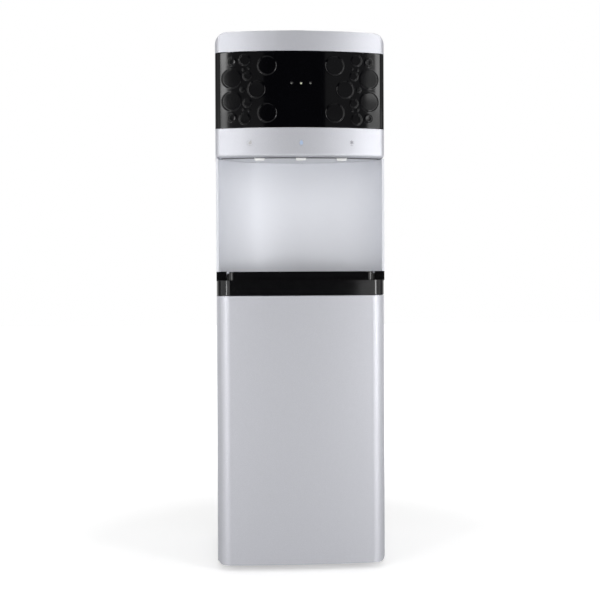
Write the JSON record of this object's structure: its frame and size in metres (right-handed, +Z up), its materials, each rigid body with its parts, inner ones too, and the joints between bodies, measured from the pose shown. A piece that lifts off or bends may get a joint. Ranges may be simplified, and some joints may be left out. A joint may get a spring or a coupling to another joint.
{
  "type": "water dispenser",
  "caption": "Floor-standing top-loading water dispenser: tall narrow cabinet with alcove, drip tray, lever taps, storage door and a collar for an upturned bottle.",
  "frame": {"origin": "centre of the footprint on the floor", "axes": "+Z up; -Y is the front with the taps and door; +X is to the right seen from the front"},
  "size_m": [0.306, 0.3199, 0.982],
  "materials": {
    "alcove_liner": "satin pale grey",
    "base_plate": "zinc coated",
    "bottle_collar": "satin white",
    "case_screws": "zinc plated",
    "cold_baffle": "natural white",
    "cold_tank": "stainless",
    "compressor": "black enamel",
    "compressor_mounts": "matt",
    "condenser_brackets": "satin black",
    "condenser_tube": "black enamel",
    "condenser_wires": "black enamel",
    "control_board": "satin",
    "cord_gland": "matt",
    "door_bushes": "natural white",
    "door_gasket": "matt grey",
    "door_liner": "satin white",
    "door_skin": "satin silver",
    "drain_cap": "matt",
    "drain_spigot": "satin white",
    "drip_grille": "gloss",
    "drip_tray": "gloss",
    "evaporator_coil": "copper",
    "fascia": "gloss",
    "feet": "matt",
    "filter_drier": "copper",
    "head_shell": "satin silver",
    "head_underside": "satin white",
    "heater_band": "mica and steel",
    "hinge_brackets": "zinc plated",
    "hinge_pins": "zinc plated",
    "hot_jacket": "expanded foam",
    "hot_tank": "stainless",
    "hot_thermostats": "matt black",
    "icon_marks": "printed",
    "led_lenses": "clear",
    "lever_cold": "satin white",
    "lever_hot": "satin white",
    "lever_normal": "satin white",
    "lower_panel": "satin silver",
    "mid_deck": "zinc coated",
    "plunger_cold": "natural white",
    "plunger_hot": "natural white",
    "plunger_normal": "natural white",
    "rear_cover": "textured grey",
    "rear_panel": "zinc coated",
    "refrigerant_tubes": "copper",
    "relay_cover": "matt black",
    "shelf": "satin white",
    "side_panel_left": "satin silver grey",
    "side_panel_right": "satin silver grey",
    "storage_liner": "satin white",
    "switch_cold": "green",
    "switch_hot": "red",
    "switch_plate": "satin black",
    "tank_insulation": "expanded foam",
    "tank_shelf": "zinc coated",
    "tap_bodies": "natural white",
    "waist_bezel": "gloss",
    "water_guard": "satin white",
    "water_hoses": "silicone"
  },
  "bodies": {
    "cabinet": {"alcove_liner": "alcove_liner", "base_plate": "base_plate", "case_screws": "case_screws", "cold_baffle": "cold_baffle", "cold_tank": "cold_tank", "compressor": "compressor", "compressor_mounts": "compressor_mounts", "condenser_brackets": "condenser_brackets", "condenser_tube": "condenser_tube", "condenser_wires": "condenser_wires", "control_board": "control_board", "cord_gland": "cord_gland", "drain_spigot": "drain_spigot", "evaporator_coil": "evaporator_coil", "fascia": "fascia", "feet": "feet", "filter_drier": "filter_drier", "head_shell": "head_shell", "head_underside": "head_underside", "heater_band": "heater_band", "hinge_brackets": "hinge_brackets", "hinge_pins": "hinge_pins", "hot_jacket": "hot_jacket", "hot_tank": "hot_tank", "hot_thermostats": "hot_thermostats", "icon_marks": "icon_marks", "led_lenses": "led_lenses", "lower_panel": "lower_panel", "mid_deck": "mid_deck", "rear_cover": "rear_cover", "rear_panel": "rear_panel", "refrigerant_tubes": "refrigerant_tubes", "relay_cover": "relay_cover", "shelf": "shelf", "side_panel_left": "side_panel_left", "side_panel_right": "side_panel_right", "storage_liner": "storage_liner", "switch_plate": "switch_plate", "tank_insulation": "tank_insulation", "tank_shelf": "tank_shelf", "tap_bodies": "tap_bodies", "waist_bezel": "waist_bezel", "water_hoses": "water_hoses"},
    "door": {"door_skin": "door_skin", "door_liner": "door_liner", "door_gasket": "door_gasket", "door_bushes": "door_bushes"},
    "tray": {"drip_tray": "drip_tray"},
    "grille": {"drip_grille": "drip_grille"},
    "lever_hot": {"lever_hot": "lever_hot"},
    "lever_normal": {"lever_normal": "lever_normal"},
    "lever_cold": {"lever_cold": "lever_cold"},
    "plunger_hot": {"plunger_hot": "plunger_hot"},
    "plunger_normal": {"plunger_normal": "plunger_normal"},
    "plunger_cold": {"plunger_cold": "plunger_cold"},
    "collar": {"bottle_collar": "bottle_collar", "water_guard": "water_guard"},
    "switch_hot": {"switch_hot": "switch_hot"},
    "switch_cold": {"switch_cold": "switch_cold"},
    "drain_cap": {"drain_cap": "drain_cap"}
  },
  "joints": [
    {"name": "door_hinge", "type": "hinge", "parent": "cabinet", "child": "door", "pos_m": [-0.139, -0.125, 0.25], "axis": [0, 0, -1], "range_deg": [0, 105]},
    {"name": "tray_slide", "type": "slide", "parent": "cabinet", "child": "tray", "axis": [0, -1, 0], "range_m": [0, 0.11]},
    {"name": "grille_lift", "type": "slide", "parent": "tray", "child": "grille", "axis": [0, 0, 1], "range_m": [0, 0.06]},
    {"name": "lever_hot_press", "type": "hinge", "parent": "cabinet", "child": "lever_hot", "pos_m": [-0.0739, -0.13899, 0.775], "axis": [1, 0, 0], "range_deg": [0, 8], "stiffness_Nm_per_rad": 0.5, "springref_deg": -2.86},
    {"name": "lever_normal_press", "type": "hinge", "parent": "cabinet", "child": "lever_normal", "pos_m": [0, -0.14525, 0.775], "axis": [1, 0, 0], "range_deg": [0, 8], "stiffness_Nm_per_rad": 0.5, "springref_deg": -2.86},
    {"name": "lever_cold_press", "type": "hinge", "parent": "cabinet", "child": "lever_cold", "pos_m": [0.0739, -0.13899, 0.775], "axis": [1, 0, 0], "range_deg": [0, 8], "stiffness_Nm_per_rad": 0.5, "springref_deg": -2.86},
    {"name": "plunger_hot_push", "type": "slide", "parent": "cabinet", "child": "plunger_hot", "axis": [0, 1, 0], "range_m": [0, 0.003]},
    {"name": "plunger_normal_push", "type": "slide", "parent": "cabinet", "child": "plunger_normal", "axis": [0, 1, 0], "range_m": [0, 0.003]},
    {"name": "plunger_cold_push", "type": "slide", "parent": "cabinet", "child": "plunger_cold", "axis": [0, 1, 0], "range_m": [0, 0.003]},
    {"name": "collar_lift", "type": "slide", "parent": "cabinet", "child": "collar", "axis": [0, 0, 1], "range_m": [0, 0.1]},
    {"name": "switch_hot_rock", "type": "hinge", "parent": "cabinet", "child": "switch_hot", "pos_m": [-0.103, 0.1163, 0.7995], "axis": [-1, 0, 0], "range_deg": [0, 14]},
    {"name": "switch_cold_rock", "type": "hinge", "parent": "cabinet", "child": "switch_cold", "pos_m": [-0.081, 0.1163, 0.7995], "axis": [-1, 0, 0], "range_deg": [0, 14]},
    {"name": "drain_cap_pull", "type": "slide", "parent": "cabinet", "child": "drain_cap", "axis": [0, 1, 0], "range_m": [0, 0.03]}
  ],
  "couplings": [
    {"joint": "plunger_hot_push", "follows": "lever_hot_press", "m_per_rad": 0.018},
    {"joint": "plunger_normal_push", "follows": "lever_normal_press", "m_per_rad": 0.018},
    {"joint": "plunger_cold_push", "follows": "lever_cold_press", "m_per_rad": 0.018}
  ]
}
